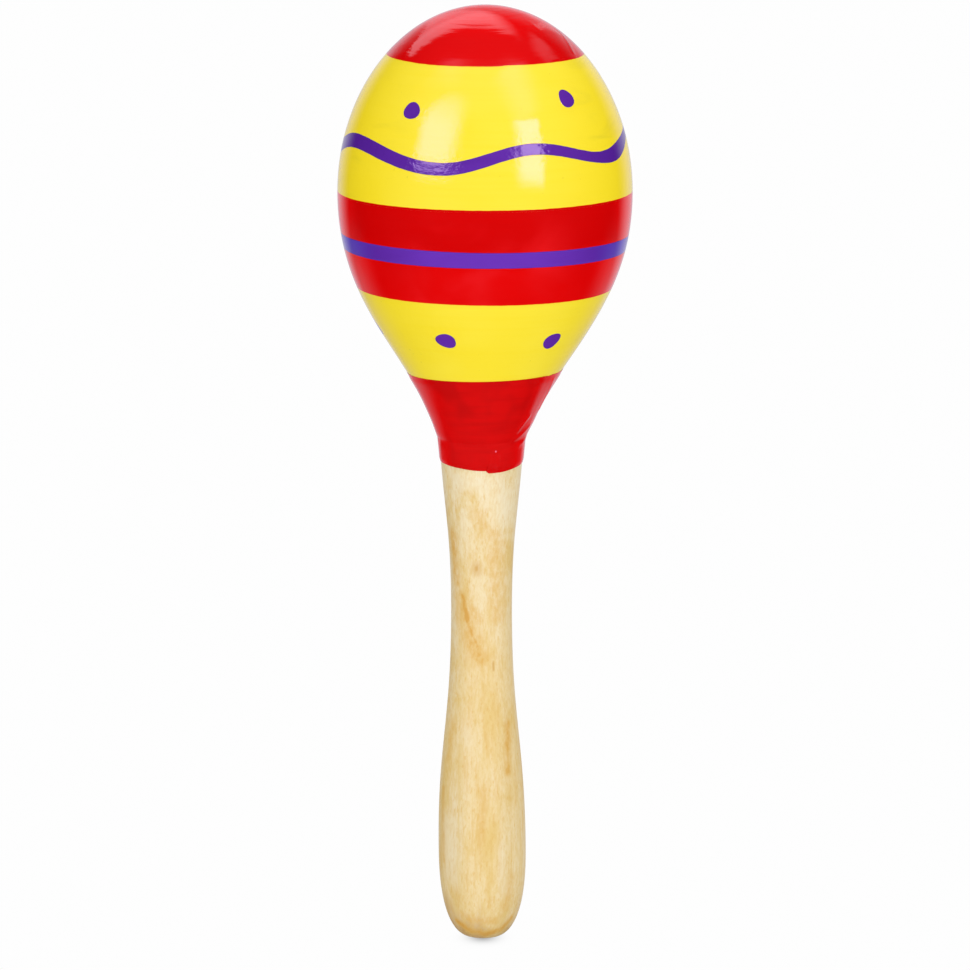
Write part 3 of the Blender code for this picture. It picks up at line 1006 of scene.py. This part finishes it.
def raw_wood():
    """Bare turned wood, for the inside of the head and the hidden joints."""
    material, g, shader = new_material("raw_wood")
    rings = g.noise((30, 30, 600), detail=3)
    fibre = g.noise((900, 900, 60), detail=3)
    wood = g.coat(RAW_WOOD, RAW_WOOD_DEEP, fibre, 0.4, 0.7)
    bumps = g.sum(g.product(rings, 0.05), g.product(fibre, 0.03))
    shader.inputs["Roughness"].default_value = RAW_WOOD_ROUGHNESS
    wire(g, shader, Base_Color=wood, Normal=g.bump(bumps))
    return material


def seed_husk():
    """Hard brown seed coat, paler round its scar."""
    material, g, shader = new_material("seed_husk")
    mottle = g.noise((900, 900, 900), detail=3)
    brown = g.coat(SEED_BROWN, SEED_PALE, mottle, 0.45, 0.7, 0.6)
    brown = g.coat(brown, SEED_PALE, g.attribute("scar"), 0.2, 0.9)
    shader.inputs["Roughness"].default_value = SEED_ROUGHNESS
    wire(g, shader, Base_Color=brown, Normal=g.bump(g.product(mottle, 0.04)))
    return material


def make_dome(lacquer, wood):
    outside = spaced(dome_curve(), ROW_SPACING)
    outside[-1] = (0, CROWN_Z)
    hollow = quarter(HEAD_RADIUS - HEAD_WALL, CROWN_Z - HEAD_WALL - RIM_Z, HOLLOW_SQUARENESS)
    inside = [(r, RIM_Z + z) for r, z in reversed(hollow) if RIM_Z + z > REBATE_Z]
    inside = spaced(inside, INNER_SPACING)
    inside[0] = (0, CROWN_Z - HEAD_WALL)
    rim = [(REBATE_RADIUS, REBATE_Z), (REBATE_RADIUS, RIM_Z)]
    return turned("painted_dome", outside, inside + rim, True, HEAD_COLUMNS, [lacquer, wood], dome_marks)


def make_bowl(lacquer, wood):
    outside = spaced(bowl_curve(), ROW_SPACING)
    wall = inset(bowl_curve(), HEAD_WALL)
    corner = radius_at(wall, FLOOR_Z)
    end = (radius_at(wall, FLOOR_Z + FLOOR_FILLET), FLOOR_Z + FLOOR_FILLET)
    start = (corner - FLOOR_FILLET, FLOOR_Z)
    fillet = curve(start, (FILLET_PULL, 0), (-FILLET_DRIFT, -FILLET_PULL), end, FILLET_STEPS)
    climb = [point for point in wall if point[1] > end[1]]
    cavity = fillet + spaced([end] + climb, INNER_SPACING)[1:]
    hollow_radius = cavity[-1][0]
    rim = [(TONGUE_RADIUS, SEAM_Z), (TONGUE_RADIUS, TONGUE_TOP_Z), (hollow_radius, TONGUE_TOP_Z)]
    bore = [(BORE_RADIUS, FLOOR_Z), (BORE_RADIUS, NECK_Z)]
    inside = rim + list(reversed(cavity)) + bore
    return turned("painted_bowl", outside, inside, True, HEAD_COLUMNS, [lacquer, wood], bowl_marks)


def make_handle(varnished, raw):
    outside = [(0, 0)] + spaced(handle_curve(), HANDLE_ROW_SPACING)
    inside = [
        (TENON_RADIUS, HANDLE_TOP_Z),
        (TENON_RADIUS, FLOOR_Z - TENON_CHAMFER),
        (TENON_RADIUS - TENON_CHAMFER, FLOOR_Z),
        (0, FLOOR_Z),
    ]
    return turned("turned_handle", outside, inside, False, HANDLE_COLUMNS, [varnished, raw], handle_marks)


def wrap_low(turn):
    """The height of the strip's lower edge, in millimetres, by the turn from the lap."""
    over = OVER_DIP * bell(turn, OVER_DIP_TURN)
    under = UNDER_DIP * bell(360 - turn, UNDER_DIP_TURN)
    corner = LAP_CORNER * (1 - smooth(turn / LAP_CORNER_TURN))
    return WRAP_LOW - over - under + corner + WRAP_EDGE_WOBBLE * hand_wobble(turn, 7.0)


def wrap_high(angle):
    """The height of the strip's upper edge, in millimetres."""
    notch = TOP_NOTCH * bell(turn_between(angle, TOP_NOTCH_ANGLE), TOP_NOTCH_TURN)
    return WRAP_HIGH + WRAP_TOP_TILT * sin(radians(angle + WRAP_TOP_TILT_TURN)) - notch


def crease_height(angle, height, radius):
    """How far creases lift the strip at a place, in millimetres."""
    lift = 0.0
    for tall, width, line in WRAP_CREASES:
        if reaches(line, width, height):
            lift += tall * bell(line_distance(angle, height, radius, line), width)
    return lift


def wrap_column(base, turn):
    """Inner and outer points of the strip, from its lower edge up, at a turn from the lap."""
    inner = []
    outer = []
    foot = wrap_low(turn)
    for row in range(WRAP_ROWS + 1):
        share = row / WRAP_ROWS
        angle = turn + along(LAP_EDGE, foot + (WRAP_HIGH - foot) * share)
        height = foot + (wrap_high(angle) - foot) * share
        radius = radius_at(base, height * MM)
        shown = 1 - smooth((share - LAP_SHOWS) / (LAP_HIDDEN - LAP_SHOWS))
        doubled = LAP_DOUBLING * shown * (1 - smooth(turn / LAP_FADE))
        taper = smooth((1 - share) * TOP_TAPER) * (1 - TOP_LIP) + TOP_LIP
        rounded = sqrt(min(share * FOOT_ROUNDING, 1))
        thick = WRAP_THICKNESS * (1 + doubled) * taper * rounded
        thick += WRAP_SWELL * bell(height - WRAP_SWELL_HEIGHT, WRAP_SWELL_REACH)
        lift = crease_height(angle, height, radius / MM) * MM * taper * rounded
        lift = max(lift, -CREASE_DEPTH_LIMIT * thick)
        inner.append(place(radius + WRAP_GAP, angle, height * MM))
        outer.append(place(radius + WRAP_GAP + thick + lift, angle, height * MM))
    return inner, outer


def make_wrap(red):
    """The strip round the joint: it follows the wood, doubles at its lap and is drawn into creases."""
    base = [(r, z) for r, z in HANDLE_RISE if z < HANDLE_TOP_Z] + BOWL_RISE
    points = []
    rings = []
    for column in range(WRAP_COLUMNS):
        turn = 360 * column / (WRAP_COLUMNS - 1) * LAP_CLOSURE
        inner, outer = wrap_column(base, turn)
        rings.append([len(points) + i for i in range(2 * WRAP_ROWS + 1)])
        points += outer + list(reversed(inner[1:]))
    faces = []
    places = []
    around = len(rings[0])
    for column, ring in enumerate(rings):
        following = rings[(column + 1) % WRAP_COLUMNS]
        for i in range(around):
            after = (i + 1) % around
            faces.append([ring[i], following[i], following[after], ring[after]])
            u0, u1 = column / WRAP_COLUMNS, (column + 1) / WRAP_COLUMNS
            v0, v1 = i / around, (i + 1) / around
            places.append([(u0, v0), (u1, v0), (u1, v1), (u0, v1)])
    obj = add_mesh("red_neck_wrap", points, faces, [red])
    add_map(obj, places)
    obj.data.set_sharp_from_angle(angle=WRAP_SHARP_ANGLE)
    return obj


def seed_mesh(radius, husk):
    """A hard seed: slightly flat, a little uneven, with a shallow scar at one end."""
    bm = bmesh.new()
    bmesh.ops.create_icosphere(bm, subdivisions=SEED_SUBDIVISIONS, radius=1)
    scars = []
    for vert in bm.verts:
        direction = vert.co.normalized()
        scar = bell((direction - Vector((0, 0, 1))).length, SEED_SCAR_WIDTH)
        uneven = SEED_UNEVENNESS * noise.noise(direction * SEED_UNEVEN_SCALE)
        reach = radius * (SEED_FULLNESS + uneven - SEED_SCAR_DEPTH * scar)
        vert.co = direction * Vector(SEED_SHAPE) * reach
        scars.append(scar)
    mesh = bpy.data.meshes.new("rattle_seed_husk")
    bm.to_mesh(mesh)
    bm.free()
    mesh.materials.append(husk)
    mesh.shade_smooth()
    add_attribute(mesh, "scar", scars)
    return mesh


def make_seeds(husk):
    nodes = sorted(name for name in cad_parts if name.startswith("rattle_seed_"))
    low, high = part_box(nodes[0])
    mesh = seed_mesh((high.z - low.z) / 2, husk)
    for turn, node in enumerate(nodes):
        number = node.rsplit("_", 1)[1]
        low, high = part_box(node)
        seed = add_object(f"seed_husk_{number}", mesh)
        seed.location = (low + high) / 2
        seed.rotation_euler = [step * turn for step in SEED_TURNS]
        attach(seed, f"seed_{number}")
        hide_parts(node)


def make_camera():
    camera = bpy.data.cameras.new("camera")
    camera.lens = CAMERA_LENS
    camera.sensor_width = SENSOR_WIDTH
    camera.sensor_fit = "HORIZONTAL"
    camera.clip_end = CAMERA_CLIP
    obj = add_object("camera", camera)
    back = Vector((0, -cos(CAMERA_ELEVATION), sin(CAMERA_ELEVATION)))
    obj.location = CAMERA_TARGET + back * CAMERA_DISTANCE
    obj.rotation_euler = back.to_track_quat("Z", "Y").to_euler()
    scene.camera = obj


def make_lamp(name, spot, size, radiance, roll=0, reflected=True):
    """A rectangular lamp that faces the head, for its reflection or as a fill. roll turns it in its plane."""
    lamp = bpy.data.lights.new(name, "AREA")
    lamp.shape = "RECTANGLE"
    lamp.size, lamp.size_y = size
    lamp.energy = radiance * pi * size[0] * size[1]
    lamp.color = GLEAM if reflected else WHITE[:3]
    obj = add_object(name, lamp)
    obj.location = spot
    facing = (spot - HEAD_MIDDLE).to_track_quat("Z", "Y")
    obj.rotation_euler = (facing @ Quaternion((0, 0, 1), radians(roll))).to_euler()
    obj.visible_camera = False
    obj.visible_glossy = reflected
    obj.visible_diffuse = not reflected
    return lamp


def fade_edges(lamp, fades, leans):
    """Soft edges of a lamp.

    fades gives how much of its width or height each edge takes to fade: left, right, bottom and top.
    leans gives how far the left edge bends at the top and the right edge slants, rightwards going up.
    """
    lamp.use_nodes = True
    g = Graph(lamp.node_tree)
    left, right, bottom, top = fades
    across, up, _ = g.axes(g.add("NewGeometry").outputs["Parametric"])
    left_share = g.scaled(g.math("POWER", up, LEFT_EDGE_BEND), -leans[0], across)
    right_share = g.scaled(g.math("SUBTRACT", 1.0, up), leans[1], across)
    strength = g.product(
        g.rise(left_share, 0.0, left),
        g.rise(right_share, 1.0, 1 - right),
        g.rise(up, 0.0, bottom),
        g.rise(up, 1.0, 1 - top),
    )
    g.tree.links.new(strength, g.tree.nodes["Emission"].inputs["Strength"])


def round_about(azimuth, elevation, distance, height):
    """A point seen from the axis at an azimuth from the front and an elevation."""
    azimuth = radians(azimuth)
    elevation = radians(elevation)
    flat = distance * cos(elevation)
    top = height + distance * sin(elevation)
    return Vector((flat * sin(azimuth), -flat * cos(azimuth), top))


def make_lamps():
    for name, azimuth, elevation, size, radiance, fades, leans, roll in LAMPS:
        spot = round_about(azimuth, elevation, LAMP_DISTANCE, HEAD_MIDDLE.z)
        fade_edges(make_lamp(name, spot, size, radiance, roll), fades, leans)
    make_lamp("back_fill", round_about(*FILL_SPOT), FILL_SIZE, FILL_RADIANCE, reflected=False)


def soft_light(g, x, y, z):
    """Even light on the object by direction: most from the front and above, some from behind each side."""
    front = g.highest(g.product(y, -1.0), 0.0)
    behind = []
    for across in (0.82, -0.82):
        toward = g.sum(g.product(x, across), g.product(y, 0.57))
        behind.append(g.math("POWER", g.highest(toward, 0.0), 2.0))
    return g.sum(
        0.32,
        g.product(g.highest(x, 0.0), 0.06),
        g.product(behind[0], 0.5),
        g.product(behind[1], 0.14),
        g.product(front, 0.68),
        g.product(g.math("POWER", front, 4.0), 0.4),
        g.product(g.highest(z, 0.0), 0.42),
        g.rise(z, 0.6, 1.0, 0.48),
    )


def ceiling_lights(g, x, y, z):
    """A window, a gap and a bright line on a level ceiling."""
    above = g.highest(z, 0.2)
    across = g.math("DIVIDE", x, above)
    back = g.math("DIVIDE", y, above)
    window = g.product(
        g.rise(g.math("SUBTRACT", across, g.rise(back, 1.15, 1.6, 0.22)), -1.08, -0.96),
        g.rise(g.scaled(back, 0.25, across), 0.54, 0.26),
        g.rise(g.scaled(across, 0.32, back), 0.43, 0.57),
        g.math("SUBTRACT", 1.42, g.rise(back, 1.1, 1.6, 0.62)),
    )
    off_gap = g.size(g.math("SUBTRACT", g.scaled(back, 0.13, across), 0.81))
    gap = g.product(g.rise(off_gap, 0.27, 0.04), g.rise(back, 0.18, 0.44, 0.52), g.rise(back, 0.92, 0.66))
    off_line = g.size(g.math("SUBTRACT", g.scaled(back, -0.1, across), 0.5))
    bright_line = g.product(g.rise(off_line, 0.09, 0.03), g.rise(back, 1.1, 1.4, 0.65))
    return g.highest(window, gap, bright_line)


def room_in_gloss(g, x, y, z):
    """What the gloss shows of a dim room: walls behind, paler near the table's height, table and ceiling."""
    backdrop = g.product(
        g.rise(g.scaled(x, 0.05, y), 0.63, 0.92, 0.72),
        g.math("SUBTRACT", 1.0, g.rise(z, 0.15, 0.45, 0.55)),
        g.math("SUBTRACT", 1.0, g.rise(z, -0.2, -0.42, 0.25)),
    )
    table = g.product(g.rise(z, -0.15, -0.42), g.rise(y, 0.28, 1.0, 0.45))
    ceiling = g.product(g.rise(y, 0.0, -0.15), g.rise(z, 0.55, 0.93, 0.42), g.rise(z, 0.985, 0.93))
    return g.sum(g.highest(backdrop, table, ceiling_lights(g, x, y, z)), ceiling)


def make_world():
    """White to the camera, even soft light on the object, and a dim room in its gloss."""
    world = bpy.data.worlds.new("studio")
    scene.world = world
    world.use_nodes = True
    g = Graph(world.node_tree)
    background = world.node_tree.nodes["Background"]
    direction = g.axes(g.add("TexCoord").outputs["Generated"])
    path = g.add("LightPath")
    glossy = path.outputs["Is Glossy Ray"]
    seen = g.highest(path.outputs["Is Camera Ray"], path.outputs["Is Transmission Ray"])
    strength = g.choose(glossy, soft_light(g, *direction), room_in_gloss(g, *direction))
    g.tree.links.new(g.mix(glossy, WHITE, ROOM), background.inputs["Color"])
    g.tree.links.new(g.choose(seen, strength, 1.0), background.inputs["Strength"])


def make_floor():
    """A white floor that lights the maraca, most from the front, with a small soft shadow at the butt."""
    corners = [(x * FLOOR_REACH, y * FLOOR_REACH, 0) for x, y in [(-1, -1), (1, -1), (1, 1), (-1, 1)]]
    material, g, shader = new_material("white_floor")
    g.tree.nodes.remove(shader)
    x, y, _ = g.axes()
    squares = []
    for at, middle, half in [(x, SHADOW_X, SHADOW_HALF_WIDTH), (y, SHADOW_Y, SHADOW_HALF_DEPTH)]:
        squares.append(g.math("POWER", g.math("DIVIDE", g.math("SUBTRACT", at, middle), half), 2.0))
    shadow = g.math("EXPONENT", g.product(g.sum(*squares), -1.0))
    white = g.scaled(shadow, -SHADOW_STRENGTH, FLOOR_WHITE)
    reach = g.distance()
    near = g.sum(0.88, g.rise(reach, *FLOOR_NEAR_FADE, 0.34), g.rise(reach, *FLOOR_FAR_FADE, -0.22))
    broad = g.sum(0.45, g.rise(y, *FLOOR_FRONT_FADE, 0.57), g.rise(g.size(x), *FLOOR_SIDE_FADE, 0.15))
    seen = g.add("LightPath").outputs["Is Camera Ray"]
    light = g.add("Emission", {"Strength": g.choose(seen, g.product(broad, near), white)})
    g.tree.links.new(light.outputs[0], g.tree.nodes["Material Output"].inputs["Surface"])
    floor = add_mesh("floor", corners, [(0, 1, 2, 3)], [material])
    floor.visible_glossy = False


def dress(piece, node):
    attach(piece, "maraca")
    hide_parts(node)


def main():
    scene.view_settings.view_transform = "Standard"
    make_camera()
    make_world()
    make_lamps()
    make_floor()
    lacquer = head_lacquer()
    bare = raw_wood()
    dress(make_dome(lacquer, bare), "upper_shell")
    dress(make_bowl(lacquer, bare), "lower_shell")
    dress(make_wrap(wrap_paint()), "neck_wrap")
    dress(make_handle(handle_wood(), bare), "handle")
    make_seeds(seed_husk())


main()
